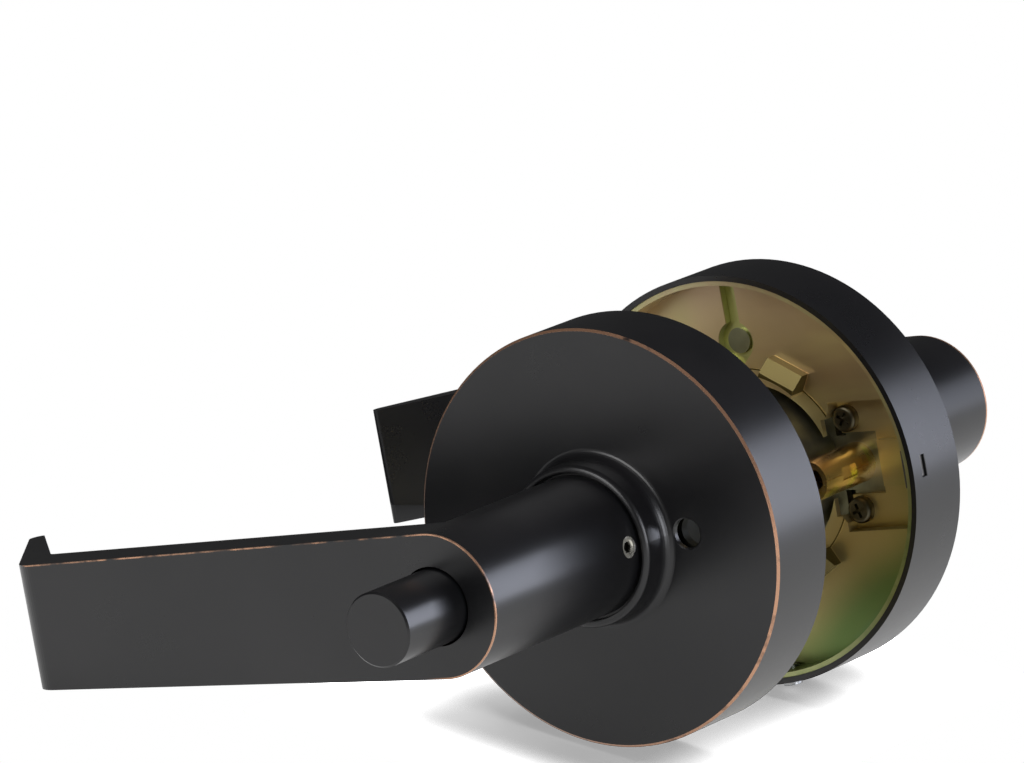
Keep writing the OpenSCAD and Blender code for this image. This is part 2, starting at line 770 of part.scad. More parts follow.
module outside_lever() {
    color(bronze) outside_set() difference() {
        lever_blank();
        translate([0, 0, neck_z - 1]) cylinder(r = hub_r + 0.05, h = hub_end - neck_z + 1);
        translate([0, 0, hub_end - 1]) cylinder(d = release_d, h = lever_front, $fn = 48);
        lever_screw_hole();
    }
}
module socket_screw(d, length, flats) {
    difference() {
        cylinder(d = d, h = length, $fn = 48);
        translate([0, 0, length - 1.6]) cylinder(d = flats / cos(30), h = 2, $fn = 6);
        translate([0, 0, length - 0.3]) cylinder(d1 = d * 0.62, d2 = d * 0.62 + 0.6, h = 0.31, $fn = 48);
    }
}
module lever_screw() {
    translate([lever_screw_in + 0.05, 0, lever_screw_z]) rotate([0, 90, 0])
        socket_screw(lever_screw_d, neck_r - 0.25 - lever_screw_in, 2.2);
}
module inside_lever_screw() {
    color(spring_steel) inside_set() lever_screw();
}
module outside_lever_screw() {
    color(spring_steel) outside_set() lever_screw();
}

// Half spindle: a square bar with a bore for the rod
module half_spindle() {
    bottom = spindle_gap - door_t / 2;
    difference() {
        translate([-spindle_w / 2, -spindle_w / 2, bottom]) cube([spindle_w, spindle_w, core_top - loose - bottom]);
        translate([0, 0, bottom - 1]) cylinder(r = rod_hole_r, h = door_t, $fn = 48);
    }
}
module inside_spindle() {
    color(spring_steel) inside_set() half_spindle();
}
module outside_spindle() {
    color(spring_steel) outside_set() half_spindle();
}

// Push button and the rod that it drives
rod_grip = 10;
module push_button() {
    front = lever_front + button_out;
    color(bronze) inside_set() difference() {
        union() {
            rotate_extrude($fn = 120) polygon([[0, button_back], [button_r, button_back],
                [button_r, front - button_edge], [button_r - button_edge, front], [0, front]]);
            translate([0, 0, shoulder_z - 0.3 - button_flange_t]) cylinder(r = button_flange_r, h = button_flange_t);
        }
        translate([0, 0, button_back - 1]) cylinder(d = rod_d + 2 * seat, h = rod_grip + 1, $fn = 48);
    }
}
module button_rod() {
    far = -door_t - slider_z + 0.05;
    color(spring_steel) inside_set() translate([0, 0, far])
        cylinder(d = rod_d, h = button_back + rod_grip - far, $fn = 48);
}
module button_spring_seat() {
    color(spring_steel) inside_set() ring(rod_hole_r, cavity_r - loose, hub_end, hub_end + seat_t);
}
button_coil_z = hub_end + seat_t + 0.05 + button_wire / 2;
button_coil_space = button_back - 0.05 - button_wire / 2 - button_coil_z;
button_path = helix(button_coil_r, button_coil_z, button_coil_space / button_turns, button_turns, 0);
echo(button_spring_least_gap = least_gap(button_path, button_wire));
module button_spring() {
    color(spring_steel) inside_set() wire(button_path, button_wire / 2);
}

// Lock slider: a bar through the hub's windows, kept from turning by the cage's slots
module lock_slider() {
    color(spring_steel) outside_set() translate([0, 0, slider_z]) {
        cylinder(r = slider_r, h = ear_t);
        intersection() {
            translate([-ear_w / 2, -ear_tip - 1, 0]) cube([ear_w, 2 * ear_tip + 2, ear_t]);
            cylinder(r = ear_tip, h = ear_t);
        }
    }
}
slider_coil_z = slider_z + ear_t + 0.05 + slider_wire / 2;
slider_coil_space = slider_step - 0.05 - slider_wire / 2 - slider_coil_z;
slider_path = helix(slider_coil_r, slider_coil_z, slider_coil_space / slider_turns, slider_turns, 0);
echo(slider_spring_least_gap = least_gap(slider_path, slider_wire));
module slider_spring() {
    color(spring_steel) outside_set() wire(slider_path, slider_wire / 2);
}

// Indicator disc: a cam sleeve with two sloping slots, and a half disc behind the window
module cam_slot(start) {
    step_a = disc_turn / cam_steps;
    step_z = button_travel / cam_steps;
    long = ear_w + carrier_r * step_a * PI / 180 + 0.4;
    high = ear_t + step_z + 0.3;
    for (k = [0:cam_steps - 1]) rotate(start + (k + 0.5) * step_a)
        translate([carrier_in - 1, -long / 2, slider_z + ear_t / 2 + (k + 0.5) * step_z - high / 2])
            cube([carrier_r - carrier_in + 2, long, high]);
}
module indicator_disc() {
    color(pale_zinc) outside_set() difference() {
        union() {
            ring(carrier_in, carrier_r, carrier_z, panel_z);
            ring(carrier_in, disc_hub_r, disc_z, panel_z);
            translate([0, 0, disc_z]) linear_extrude(disc_t)
                sector(disc_hub_r - 1, disc_r, 90 - disc_half, 90 + disc_half + disc_turn);
        }
        cam_slot(90);
        cam_slot(270);
    }
}
module panel(middle) {
    translate([0, 0, panel_z]) linear_extrude(panel_t)
        sector(disc_in, disc_r - 0.2, middle - disc_half + 0.05, middle + disc_half - 0.05);
}
module vacant_panel() {
    color(signal_green) outside_set() panel(90);
}
module occupied_panel() {
    color(signal_red) outside_set() panel(90 + disc_turn);
}
// A padlock in outline, with its shackle lifted by lift
module padlock(lift) {
    body_w = 8.4;
    body_h = 5.6;
    bar = 1.1;
    loop_r = 2.7;
    rise = 1.4;
    difference() {
        translate([-body_w / 2, -body_h]) square([body_w, body_h]);
        translate([0, -body_h * 0.42]) circle(r = 0.85, $fn = 48);
        translate([-0.35, -body_h * 0.8]) square([0.7, body_h * 0.4]);
    }
    translate([0, rise + lift]) intersection() {
        difference() {
            circle(r = loop_r);
            circle(r = loop_r - bar);
        }
        translate([-5, 0]) square([10, 5]);
    }
    translate([-loop_r, -0.5]) square([bar, rise + lift + 0.5]);
    translate([loop_r - bar, lift > 0 ? lift + 0.3 : -0.5]) square([bar, lift > 0 ? rise - 0.3 : rise + 0.5]);
}
module symbol(middle, lift) {
    translate([0, 0, symbol_z]) linear_extrude(symbol_t)
        rotate(middle - 90) translate([0, (window_r1 + window_r2) / 2 + 0.4]) padlock(lift);
}
module vacant_symbol() {
    color("white") outside_set() symbol(90, 1.3);
}
module occupied_symbol() {
    color("white") outside_set() symbol(90 + disc_turn, 0);
}

// Detent: a leaf riveted to the liner that bears on the disc
leaf_t = 0.4;
module detent_leaf() {
    foot = 3.5;
    rise_x = 9;
    nose = 4;
    z1 = recess_back;
    z2 = disc_z - 0.1 - leaf_t;
    color(spring_steel) outside_set() difference() {
        translate([0, rivet_y + 2.5, 0]) rotate([90, 0, 0]) linear_extrude(5) polygon([
            [-foot, z1], [foot, z1], [foot + rise_x, z2], [foot + rise_x + nose, z2],
            [foot + rise_x + nose, z2 + leaf_t], [foot + rise_x, z2 + leaf_t], [foot, z1 + leaf_t],
            [-foot, z1 + leaf_t]]);
        translate([0, rivet_y, 0]) cylinder(r = rivet_shank_r + seat, h = rose_depth, $fn = 48);
    }
}
module detent_rivet() {
    color(yellow_zinc) outside_set() translate([0, rivet_y, 0]) {
        translate([0, 0, recess_z - 0.7]) cylinder(d = rivet_d, h = 0.7);
        translate([0, 0, recess_z]) cylinder(r = rivet_shank_r, h = liner_t + leaf_t, $fn = 48);
        translate([0, 0, recess_back + leaf_t]) cylinder(r = rivet_shank_r + 0.7, h = 0.6, $fn = 48);
    }
}

// Spring catch in the rim slots, and the small screw under the rose
module rose_catch() {
    leaf = [0.6, 8, 6.6];
    leaf_x = sqrt(pow(liner_in - seat, 2) - pow(leaf[1] / 2, 2)) - leaf[0];
    color(spring_steel) outside_set() {
        translate([leaf_x, -leaf[1] / 2, rim_fix_z - leaf[2] / 2]) cube(leaf);
        translate([leaf_x + leaf[0] - eps, -catch_slot[1] / 2 + loose, rim_fix_z - catch_slot[0] / 2 + loose])
            cube([rose_r - 0.7 - leaf_x - leaf[0], catch_slot[1] - 2 * loose, catch_slot[0] - 2 * loose]);
    }
}
module rose_screw() {
    color(spring_steel) outside_set() translate([0, -rose_screw_in, rose_screw_z]) rotate([90, 0, 0])
        socket_screw(2 * rose_screw_r, rose_r + 1.5 - rose_screw_in, 2);
}

inside_rose();
inside_liner();
inside_yoke();
inside_liner_screws();
inside_cage();
inside_cage_screws();
inside_hub();
inside_return_spring();
inside_circlip();
inside_bushing();
inside_lever();
inside_lever_screw();
inside_spindle();
push_button();
button_rod();
button_spring();
button_spring_seat();
outside_rose();
outside_liner();
outside_yoke();
bolt_posts();
outside_liner_screws();
outside_cage();
outside_cage_screws();
outside_hub();
outside_return_spring();
outside_circlip();
outside_bushing();
outside_lever();
outside_lever_screw();
outside_spindle();
lock_slider();
slider_spring();
indicator_disc();
vacant_panel();
occupied_panel();
vacant_symbol();
occupied_symbol();
detent_leaf();
detent_rivet();
rose_catch();
rose_screw();
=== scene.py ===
import math

import bpy
from mathutils import Matrix, Vector


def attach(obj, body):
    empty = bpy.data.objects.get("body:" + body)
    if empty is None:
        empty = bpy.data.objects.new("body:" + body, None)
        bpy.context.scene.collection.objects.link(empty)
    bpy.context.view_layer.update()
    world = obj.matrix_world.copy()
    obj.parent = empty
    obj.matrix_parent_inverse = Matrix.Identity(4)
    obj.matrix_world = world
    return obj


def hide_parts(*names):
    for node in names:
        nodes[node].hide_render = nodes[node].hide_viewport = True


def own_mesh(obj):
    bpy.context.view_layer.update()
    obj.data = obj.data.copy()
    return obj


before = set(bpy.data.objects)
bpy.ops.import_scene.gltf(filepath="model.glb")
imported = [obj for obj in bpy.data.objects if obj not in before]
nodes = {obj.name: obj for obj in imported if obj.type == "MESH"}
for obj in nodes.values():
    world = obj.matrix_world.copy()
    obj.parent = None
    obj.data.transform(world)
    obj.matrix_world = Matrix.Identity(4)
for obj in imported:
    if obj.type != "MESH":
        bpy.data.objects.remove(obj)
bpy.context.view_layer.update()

# Sizes of the solids that the finishes follow, in metres. A depth is counted from the door's face.
DOOR_HALF = 0.0175
ROSE_R = 0.04445
ROSE_DEPTH = 0.0178
NECK_R = 0.015
LEVER_FRONT = 0.0762
LEVER_LENGTH = 0.106
LEVER_TIP_HALF = 0.01335
BUTTON_R = 0.0078
BUTTON_END = 0.0952
WINDOW_IN = 0.025
WINDOW_OUT = 0.0385
WINDOW_HALF_DEG = 40.0

# The liner dish: its rim, the depth that tells tabs from floor, its channel and bolt holes, and how far
# the painted shade round the holes reaches
LINER_RIM_R = 0.04
LINER_RIM_DEPTH = 0.0006
TABS_IN = 0.0225
TABS_OUT = 0.036
TABS_DEPTH = 0.0078
CHANNEL_DEPTH = 0.0083
CHANNEL_HALF = 0.0065
CHANNEL_LOW = 0.02
BOLT_X = 0.0225
BOLT_HOLE_R = 0.0039
BOLT_SHADE_R = 0.0052

# Widths of the worn copper lines, in metres, and how far a line runs past the window's corner
ROSE_EDGE = 0.0005
ROSE_LINE = 0.00052
WINDOW_EDGE = 0.0006
WINDOW_LINE = 0.0004
WINDOW_SIDE_SLACK = 0.0003
WINDOW_CORNER_DEG = 0.8
LEVER_EDGE_FRONT = 0.0002
LEVER_LINE_FRONT = 0.00028
LEVER_EDGE_SIDE = 0.00045
LEVER_LINE_SIDE = 0.0001

# Colours, linear
BRONZE = (0.0065, 0.0065, 0.0075)
BRONZE_CLOUD = (0.011, 0.0105, 0.0115)
COPPER = (0.58, 0.32, 0.20)
GOLD = (0.80, 0.66, 0.30)
GOLD_DULL = (0.72, 0.57, 0.28)
GOLD_RED = (0.52, 0.33, 0.20)
# Painted shade for the bottom of the liner dish
GOLD_PAINTED_SHADE = (0.34, 0.28, 0.11)
GOLD_PINK = (0.44, 0.31, 0.22)
GOLD_GREEN = (0.19, 0.29, 0.09)
GOLD_TEAL = (0.09, 0.27, 0.24)
GOLD_LIME = (0.46, 0.48, 0.17)
RIM_LIME = (0.55, 0.57, 0.28)
# Painted shade for the liner's tabs
TAB_PAINTED_SHADE = (0.13, 0.10, 0.03)
CHANNEL_LIME = (0.50, 0.55, 0.20)
# Painted shade round the liner's bolt holes
HOLE_PAINTED_SHADE = (0.02, 0.018, 0.01)
POST_GOLD = (0.80, 0.56, 0.20)
POST_RED = (0.66, 0.40, 0.24)
POST_LIME = (0.80, 0.72, 0.14)
SOCKET_DARK = (0.03, 0.028, 0.024)
SCREW_BRIGHT = (0.66, 0.64, 0.56)


def pick(sockets, kind, name=None):
    """The first socket of a kind, and of a name where one is given."""
    return next(s for s in sockets if s.type == kind and name in (None, s.name))


class Sock:
    """A number in a material's tree, with the usual arithmetic."""

    def __init__(self, tree, out):
        self.t, self.o = tree, out

    def _op(self, op, *args):
        n = self.t.nodes.new("ShaderNodeMath")
        n.operation = op
        for i, a in enumerate((self,) + args):
            if isinstance(a, Sock):
                self.t.links.new(a.o, n.inputs[i])
            else:
                n.inputs[i].default_value = a
        return Sock(self.t, n.outputs[0])

    def __add__(self, b):
        return self._op("ADD", b)

    def __sub__(self, b):
        return self._op("SUBTRACT", b)

    def __mul__(self, b):
        return self._op("MULTIPLY", b)

    def __truediv__(self, b):
        return self._op("DIVIDE", b)

    def __neg__(self):
        return self._op("MULTIPLY", -1)

    def abs(self):
        return self._op("ABSOLUTE")

    def sqrt(self):
        return self._op("SQRT")

    def max(self, b):
        return self._op("MAXIMUM", b)

    def gt(self, b):
        return self._op("GREATER_THAN", b)

    def lt(self, b):
        return self._op("LESS_THAN", b)

    def atan2(self, b):
        return self._op("ARCTAN2", b)

    def lerp(self, low, high):
        """low at 0, high at 1."""
        return self * (high - low) + low

    def ramp(self, low, high):
        """0 below low, 1 above high, smooth between."""
        n = self.t.nodes.new("ShaderNodeMapRange")
        n.interpolation_type = "SMOOTHSTEP"
        self.t.links.new(self.o, n.inputs[0])
        n.inputs[1].default_value = low
        n.inputs[2].default_value = high
        return Sock(self.t, n.outputs[0])

    def fall(self, low, high):
        """1 below low, 0 above high, smooth between."""
        return (-self).ramp(-high, -low)


class Finish:
    """A material with its shader, its object coordinates and a few helpers."""

    def __init__(self, name, metallic=0.0, roughness=0.4, colour=(0.5, 0.5, 0.5)):
        self.m = bpy.data.materials.new(name)
        self.m.use_nodes = True
        self.t = self.m.node_tree
        self.p = self.t.nodes["Principled BSDF"]
        self.set("Metallic", metallic)
        self.set("Roughness", roughness)
        self.set("Base Color", (*colour, 1))
        self.tc = self.t.nodes.new("ShaderNodeTexCoord")
        sep = self.t.nodes.new("ShaderNodeSeparateXYZ")
        self.t.links.new(self.tc.outputs["Object"], sep.inputs[0])
        self.x, self.y, self.z = (Sock(self.t, sep.outputs[i]) for i in range(3))
        self.r = (self.x * self.x + self.z * self.z).sqrt()
        self.depth = self.y.abs() - DOOR_HALF

    def set(self, name, value):
        self.p.inputs[name].default_value = value

    def drive(self, name, sock):
        self.t.links.new(sock.o, self.p.inputs[name])

    def base(self, out):
        self.t.links.new(out, self.p.inputs["Base Color"])

    def noise(self, scale, detail, stretch=(1, 1, 1), seed=(0, 0, 0)):
        m = self.t.nodes.new("ShaderNodeMapping")
        self.t.links.new(self.tc.outputs["Object"], m.inputs["Vector"])
        m.inputs["Scale"].default_value = stretch
        m.inputs["Location"].default_value = seed
        n = self.t.nodes.new("ShaderNodeTexNoise")
        n.inputs["Scale"].default_value = scale
        n.inputs["Detail"].default_value = detail
        self.t.links.new(m.outputs[0], n.inputs["Vector"])
        return Sock(self.t, n.outputs["Fac"])

    def mix(self, fac, a, b):
        n = self.t.nodes.new("ShaderNodeMix")
        n.data_type = "RGBA"
        self.t.links.new(fac.o, n.inputs["Factor"])
        for key, v in (("A", a), ("B", b)):
            s = pick(n.inputs, "RGBA", key)
            if isinstance(v, tuple):
                s.default_value = (*v, 1)
            else:
                self.t.links.new(v, s)
        return pick(n.outputs, "RGBA")

    def round_normal(self, mask):
        """The true normal of a cylinder about the lock's axis, where the mask is 1."""
        n = self.t.nodes.new("ShaderNodeCombineXYZ")
        self.t.links.new((self.x / self.r).o, n.inputs[0])
        self.t.links.new((self.z / self.r).o, n.inputs[2])
        v = self.t.nodes.new("ShaderNodeVectorTransform")
        v.vector_type, v.convert_from, v.convert_to = "NORMAL", "OBJECT", "WORLD"
        self.t.links.new(n.outputs[0], v.inputs[0])
        g = self.t.nodes.new("ShaderNodeNewGeometry")
        m = self.t.nodes.new("ShaderNodeMix")
        m.data_type = "VECTOR"
        self.t.links.new(mask.o, m.inputs["Factor"])
        self.t.links.new(g.outputs["Normal"], pick(m.inputs, "VECTOR", "A"))
        self.t.links.new(v.outputs[0], pick(m.inputs, "VECTOR", "B"))
        return pick(m.outputs, "VECTOR")

    def bump(self, height, distance, strength, normal=None):
        n = self.t.nodes.new("ShaderNodeBump")
        if normal is not None:
            self.t.links.new(normal, n.inputs["Normal"])
        n.inputs["Strength"].default_value = strength
        n.inputs["Distance"].default_value = distance
        self.t.links.new(height.o, n.inputs["Height"])
        self.t.links.new(n.outputs[0], self.p.inputs["Normal"])


def bronze(name, radius, height, worn=None, streak=(1, 1, 1)):
    """Dark oil-rubbed bronze.

    worn(finish) gives where copper shows. radius and height are of the round that gets its true normal.
    """
    metallic, more_metallic, smoother = 0.15, 0.6, 0.05
    f = Finish(name, metallic=metallic, roughness=0.3)
    f.set("Specular IOR Level", 0.68)
    cloud = f.noise(scale=28, detail=4).ramp(0.35, 0.7)
    grain = f.noise(scale=700, detail=2, stretch=streak)
    col = f.mix(cloud, BRONZE, BRONZE_CLOUD)
    rough = f.noise(scale=60, detail=3).lerp(0.25, 0.33) + (grain - 0.5) * 0.03
    if worn is not None:
        w = worn(f)
        col = f.mix(w, col, COPPER)
        f.drive("Metallic", w * more_metallic + metallic)
        rough = rough - w * smoother
    f.base(col)
    f.drive("Roughness", rough)
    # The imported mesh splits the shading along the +X line of each round
    wall = (f.r - radius).abs().lt(0.0002) * f.depth.gt(0.00003) * f.depth.lt(height - 0.00002)
    f.bump(grain, distance=0.000004, strength=0.2, normal=f.round_normal(wall * f.x.gt(0.0)))
    return f.m


def broken(f, low, high, seed=(0, 0, 0)):
    """Where a worn line shows: long runs with gaps and flecks."""
    runs = f.noise(scale=38, detail=2, seed=seed) * 0.7
    flecks = f.noise(scale=420, detail=2, seed=seed) * 0.3
    return (runs + flecks).ramp(low, high)


def rose_worn(f):
    """Copper along the rose's front edge."""
    edge = f.depth.gt(ROSE_DEPTH - ROSE_EDGE) * f.r.gt(ROSE_R - ROSE_LINE)
    return edge * broken(f, 0.36, 0.50)


def window_worn(f):
    """Copper along the rose's front edge and its window."""
    angle = f.x.atan2(f.z).abs() * (180 / math.pi)
    within = angle.lt(WINDOW_HALF_DEG + WINDOW_CORNER_DEG)
    inner = (f.r - WINDOW_IN).abs().lt(WINDOW_LINE) * within
    outer = (f.r - WINDOW_OUT).abs().lt(WINDOW_LINE) * within
    side = ((angle - WINDOW_HALF_DEG) * f.r * (math.pi / 180)).abs().lt(WINDOW_LINE)
    side = side * f.r.gt(WINDOW_IN - WINDOW_SIDE_SLACK) * f.r.lt(WINDOW_OUT + WINDOW_SIDE_SLACK)
    rim = inner.max(outer).max(side) * f.depth.gt(ROSE_DEPTH - WINDOW_EDGE)
    return rose_worn(f).max(rim * broken(f, 0.42, 0.54, seed=(3, 1, 2)))


def lever_worn(f):
    """Copper along the front's upper edge and its round end."""
    half = f.x * ((NECK_R - LEVER_TIP_HALF) / LEVER_LENGTH) + NECK_R
    blade = f.x.lt(0.0) * (half - f.z.abs())
    round_end = f.x.gt(0.0) * (-f.r + NECK_R)
    inset = blade + round_end
    front = f.depth.gt(LEVER_FRONT - LEVER_EDGE_FRONT) * inset.lt(LEVER_LINE_FRONT)
    side = f.depth.gt(LEVER_FRONT - LEVER_EDGE_SIDE) * inset.lt(LEVER_LINE_SIDE)
    rubbed = f.z.gt(0.0).max(f.x.ramp(-0.006, 0.002))
    return front.max(side) * broken(f, 0.38, 0.54, seed=(5, 0, 0)) * rubbed


def zinc_liner(name):
    """Iridescent yellow passivated zinc, in soft bands of gold, pink, green and teal, with painted shade
    towards the bottom, on the tabs and round the bolt holes.
    """
    f = Finish(name, metallic=0.72, roughness=0.3)
    wave = f.noise(scale=16, detail=2)
    patches = f.noise(scale=30, detail=2, stretch=(1, 1, 0.5), seed=(4, 0, 1))
    streaks = f.noise(scale=26, detail=3, stretch=(0.5, 1, 3), seed=(7, 0, 2)).ramp(0.5, 0.68)
    col = f.mix(patches.ramp(0.35, 0.65), GOLD, GOLD_DULL)
    col = f.mix(streaks * 0.55, col, GOLD_RED)
    # Painted shade: darker brown gold towards the bottom of the dish
    col = f.mix((-f.z).ramp(0.004, 0.03) * 0.65, col, GOLD_PAINTED_SHADE)
    col = f.mix((f.z * 14 + wave * 1.4).ramp(0.8, 1.5), col, GOLD_PINK)
    # Green and then teal towards the lower right
    band = f.x * 14 - f.z * 9 + wave * 0.9
    green = band.ramp(0.82, 1.10)
    col = f.mix(green, col, GOLD_GREEN)
    col = f.mix(band.ramp(1.12, 1.32), col, GOLD_TEAL)
    col = f.mix(patches.ramp(0.62, 0.8) * (green * -0.8 + 1), col, GOLD_LIME)
    rim = f.depth.lt(LINER_RIM_DEPTH) * f.r.gt(LINER_RIM_R)
    col = f.mix(rim * broken(f, 0.3, 0.6) * 0.75, col, RIM_LIME)
    # Painted shade: the tabs are darkened
    tabs = f.depth.lt(TABS_DEPTH) * f.r.lt(TABS_OUT) * f.r.gt(TABS_IN)
    col = f.mix(tabs, col, TAB_PAINTED_SHADE)
    channel = f.depth.gt(CHANNEL_DEPTH) * f.x.abs().lt(CHANNEL_HALF) * f.z.gt(CHANNEL_LOW)
    col = f.mix(channel * 0.8, col, CHANNEL_LIME)
    # Painted shade: the zinc goes near black round the bolt holes
    across = f.x.abs() - BOLT_X
    hole_shade = (across * across + f.z * f.z).sqrt().ramp(BOLT_HOLE_R, BOLT_SHADE_R) * -1 + 1
    f.base(f.mix(hole_shade * 0.95, col, HOLE_PAINTED_SHADE))
    f.drive("Roughness", f.noise(scale=45, detail=3).lerp(0.24, 0.38))
    f.bump(f.noise(scale=60, detail=3), distance=0.00012, strength=0.25)
    return f.m


def zinc_post(name):
    """Bright yellow zinc on a turned post."""
    f = Finish(name, metallic=0.95, roughness=0.25)
    bands = f.noise(scale=90, detail=2, stretch=(1, 0.25, 1)).ramp(0.4, 0.6)
    spots = f.noise(scale=150, detail=2, seed=(2, 2, 2)).ramp(0.55, 0.7)
    f.base(f.mix(spots, f.mix(bands, POST_GOLD, POST_RED), POST_LIME))
    f.drive("Roughness", f.noise(scale=200, detail=3).lerp(0.18, 0.34))
    return f.m


def steel(name, colour, rough, metallic=0.95, specular=0.5):
    """Steel or plain zinc, with faint clouds and a fine grain."""
    f = Finish(name, metallic=metallic, roughness=rough)
    f.set("Specular IOR Level", specular)
    dark = tuple(c * 0.7 for c in colour)
    f.base(f.mix(f.noise(scale=160, detail=3).ramp(0.3, 0.7), colour, dark))
    f.drive("Roughness", f.noise(scale=300, detail=3).lerp(rough - 0.06, rough + 0.1))
    f.bump(f.noise(scale=900, detail=3), distance=0.00002, strength=0.35)
    return f.m


def set_screw(name):
    """Bright steel, dark inside the hexagon socket."""
    f = Finish(name, metallic=0.8, roughness=0.3)
    out_of_socket = f.x.ramp(0.01385, 0.0147)
    f.base(f.mix(out_of_socket, SOCKET_DARK, SCREW_BRIGHT))
    f.drive("Roughness", f.noise(scale=700, detail=3).ramp(0.3, 0.8).lerp(0.22, 0.4))
    return f.m


def enamel(name, colour, rough=0.3):
    """Paint or nylon with a thin gloss."""
    f = Finish(name, metallic=0.0, roughness=rough)
    deep = tuple(c * 0.82 for c in colour)
    f.base(f.mix(f.noise(scale=120, detail=3).ramp(0.35, 0.65), colour, deep))
    f.set("Coat Weight", 0.25)
    f.set("Coat Roughness", 0.12)
    f.bump(f.noise(scale=1200, detail=2), distance=0.000015, strength=0.3)
    return f.m


def put(material, *names):
    for n in names:
        o = nodes[n]
        o.data.materials.clear()
        o.data.materials.append(material)


put(bronze("bronze_rose_in", ROSE_R, ROSE_DEPTH - ROSE_EDGE, rose_worn), "inside_rose")
put(bronze("bronze_rose_out", ROSE_R, ROSE_DEPTH - ROSE_EDGE, window_worn), "outside_rose")
put(bronze("bronze_lever", NECK_R, LEVER_FRONT, lever_worn), "inside_lever", "outside_lever")
put(bronze("bronze_button", BUTTON_R, BUTTON_END, streak=(1, 12, 1)), "push_button")
put(zinc_liner("yellow_zinc"), "inside_liner", "outside_liner")
put(zinc_post("yellow_zinc_post"), "bolt_posts")
put(steel("zinc_rivet", (0.34, 0.35, 0.22), 0.32), "detent_rivet")
put(steel("pale_zinc", (0.46, 0.45, 0.34), 0.34), "outside_yoke", "outside_cage", "indicator_disc")
# Zinc darkened as painted shade, for the inside yoke and cage seen through the rose's bolt hole
put(steel("zinc_painted_shade", (0.016, 0.016, 0.012), 0.55, metallic=0.3, specular=0.12),
    "inside_yoke", "inside_cage")
put(steel("dark_steel", (0.17, 0.15, 0.10), 0.34),
    "inside_liner_screws", "outside_liner_screws", "inside_cage_screws", "outside_cage_screws",
    "inside_hub", "outside_hub")
put(steel("spring_steel", (0.50, 0.51, 0.52), 0.24),
    "inside_return_spring", "outside_return_spring", "button_spring", "slider_spring",
    "inside_circlip", "outside_circlip", "button_spring_seat", "lock_slider", "detent_leaf", "rose_screw")
# Steel darkened as painted shade, for the spindles, rod and catch inside bores and slots
put(steel("steel_painted_shade", (0.17, 0.165, 0.155), 0.5),
    "inside_spindle", "outside_spindle", "button_rod", "rose_catch")
put(set_screw("set_screw_steel"), "inside_lever_screw", "outside_lever_screw")
put(enamel("black_nylon", (0.018, 0.018, 0.019), 0.5), "inside_bushing", "outside_bushing")
put(enamel("green_paint", (0.0, 0.42, 0.09)), "vacant_panel")
put(enamel("red_paint", (0.58, 0.02, 0.02)), "occupied_panel")
put(enamel("white_paint", (0.85, 0.85, 0.85), 0.45), "vacant_symbol", "occupied_symbol")


def coil(node, body):
    """The spring's own mesh as a piece that rides with the body, in place of the hidden spring node."""
    o = bpy.data.objects.new(node + "_coil", nodes[node].data.copy())
    bpy.context.scene.collection.objects.link(o)
    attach(o, body)
    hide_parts(node)
    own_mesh(o)


coil("button_spring", "inside_lever_body")
coil("slider_spring", "outside_lever_body")

# Camera, fitted to the photograph: its axes, and the lock's origin seen from it, in metres
RIGHT = Vector((0.80213, 0.57060, -0.17608))
DOWN = Vector((-0.05962, -0.21686, -0.97438))
FORWARD = Vector((-0.59417, 0.79208, -0.13993))
ORIGIN_RIGHT, ORIGIN_DOWN, ORIGIN_FORWARD = 0.037910, 0.024879, 1.679816
FOCAL_PX = 8000
IMAGE_WIDTH_PX = 1024
SENSOR_MM = 36
CLIP_END = 20

cam = bpy.data.cameras.new("camera")
cam.sensor_width = SENSOR_MM
cam.lens = FOCAL_PX / IMAGE_WIDTH_PX * SENSOR_MM
cam.clip_end = CLIP_END
cam_obj = bpy.data.objects.new("camera", cam)
bpy.context.scene.collection.objects.link(cam_obj)
place = -(RIGHT * ORIGIN_RIGHT + DOWN * ORIGIN_DOWN + FORWARD * ORIGIN_FORWARD)
turn = Matrix((RIGHT, -DOWN, -FORWARD)).transposed().to_4x4()
cam_obj.matrix_world = Matrix.Translation(place) @ turn
bpy.context.scene.camera = cam_obj


def lamp(name, at, to, side, watts, colour=(1, 1, 1)):
    d = bpy.data.lights.new(name, "AREA")
    d.shape = "SQUARE"
    d.size = side
    d.energy = watts
    d.color = colour
    o = bpy.data.objects.new(name, d)
    bpy.context.scene.collection.objects.link(o)
    o.location = at
    o.rotation_euler = (Vector(to) - Vector(at)).to_track_quat("-Z", "Y").to_euler()
    return o


side_lamps = [
    lamp("side_right", (0.95, 0.75, 0.12), (0, 0, 0), 0.7, 8.5, (0.82, 0.86, 1.0)),
    lamp("key_right", (1.0, -0.2, 0.05), (0, 0.02, 0), 0.5, 4.8, (0.92, 0.94, 1.0)),
    lamp("front", (-0.2, -1.2, 0.7), (0, 0, 0), 0.8, 8)]
top = lamp("top", (0.16, 0.3, 1.05), (0, 0, 0), 1.7, 11)
top.visible_glossy = False

# The plane that the roses and the inside lever's tip rest on in the photograph, and the sheets' heights
TILT = math.radians(17.4)
FLOOR_HEIGHT = -0.0460
SHADOW_HEIGHT = -0.0456
FLOOR_WHITE = 0.9
FLOOR_ROUGHNESS = 0.6
WHITE = (1, 1, 1, 1)


def sheet(name, xs, ys, height, finish):
    """A flat sheet of the stage on the tilted plane."""
    me = bpy.data.meshes.new(name)
    me.from_pydata([(xs[0], ys[0], 0), (xs[1], ys[0], 0), (xs[1], ys[1], 0), (xs[0], ys[1], 0)],
                   [], [(0, 1, 2, 3)])
    me.materials.append(finish.m)
    o = bpy.data.objects.new(name, me)
    bpy.context.scene.collection.objects.link(o)
    o.matrix_world = Matrix.Rotation(TILT, 4, "Y") @ Matrix.Translation((0, 0, height))
    return o


def light_path(tree):
    """The camera, glossy and transmission outputs of a Light Path node."""
    n = tree.nodes.new("ShaderNodeLightPath")
    return [Sock(tree, n.outputs[f"Is {kind} Ray"]) for kind in ("Camera", "Glossy", "Transmission")]


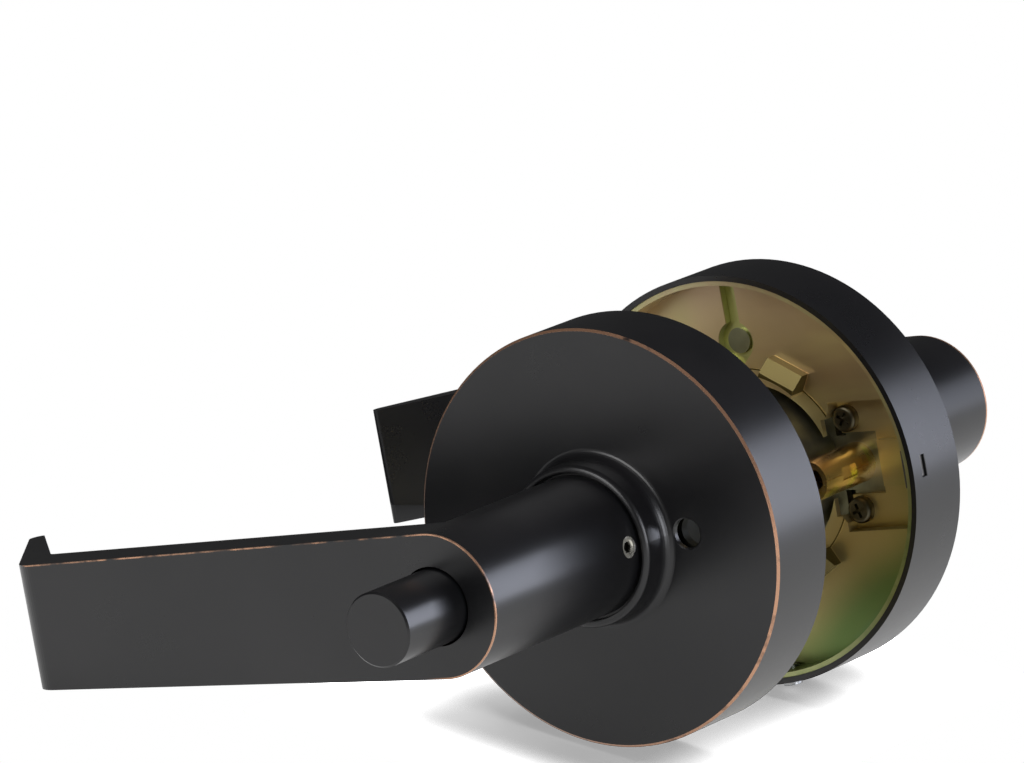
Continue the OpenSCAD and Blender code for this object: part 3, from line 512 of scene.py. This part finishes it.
# The floor shows in reflections. Its far left part is darker there, which keeps the lever's top dark.
paint = Finish("floor_white", roughness=FLOOR_ROUGHNESS, colour=(FLOOR_WHITE,) * 3)
camera_ray, glossy_ray, transmission_ray = light_path(paint.t)
far = paint.y.ramp(-0.06, 0.04) * (-paint.x).ramp(0.02, 0.14)
glow = (glossy_ray * far.lerp(0.57, 0.04)).max(transmission_ray).max(camera_ray * 0.5)
paint.drive("Base Color", glossy_ray * far * -0.88 + FLOOR_WHITE)
paint.set("Emission Color", WHITE)
paint.drive("Emission Strength", glow)
floor = sheet("floor", (-0.45, 0.45), (-0.5, 0.6), FLOOR_HEIGHT, paint)
floor.visible_camera = False

# Under the roses the floor keeps their shadow. It fades out before the levers, which turn down past it.
fade = Finish("floor_fade", roughness=FLOOR_ROUGHNESS, colour=(FLOOR_WHITE,) * 3)
fade.set("Emission Color", WHITE)
fade.set("Emission Strength", 0.2)
along_x = fade.x.ramp(-0.06, -0.028) * fade.x.fall(0.012, 0.045)
along_y = fade.y.ramp(-0.068, -0.042) * fade.y.fall(0.04, 0.068)
fade.drive("Alpha", along_x * along_y)
shadow = sheet("floor_shadow", (-0.062, 0.047), (-0.07, 0.07), SHADOW_HEIGHT, fade)
shadow.is_shadow_catcher = True
shadow.visible_glossy = False
shadow.visible_diffuse = False
shadow.visible_shadow = False

# Only the top lamp and the world reach the floor, so its shadow stays under the lock
unlit = bpy.data.collections.new("not_on_floor")
for o in (floor, shadow):
    unlit.objects.link(o)
for row in unlit.collection_objects:
    row.light_linking.link_state = "EXCLUDE"
for o in side_lamps:
    o.light_linking.receiver_collection = unlit

# World: white where the camera sees it, a plain level of light elsewhere that falls off upwards
world = bpy.data.worlds.new("world")
bpy.context.scene.world = world
world.use_nodes = True
tree = world.node_tree
background = tree.nodes["Background"]
background.inputs["Color"].default_value = WHITE
camera_ray, glossy_ray, transmission_ray = light_path(tree)
aim = tree.nodes.new("ShaderNodeTexCoord")
axes = tree.nodes.new("ShaderNodeSeparateXYZ")
tree.links.new(aim.outputs["Generated"], axes.inputs[0])
overhead = Sock(tree, axes.outputs[2]).ramp(-0.32, 0.04) * -0.95 + 1
seen = camera_ray.max(glossy_ray).max(transmission_ray)
level = camera_ray.max(seen.lerp(0.7, 1.0) * overhead)
tree.links.new(level.o, background.inputs["Strength"])
bpy.context.scene.view_settings.view_transform = "Standard"
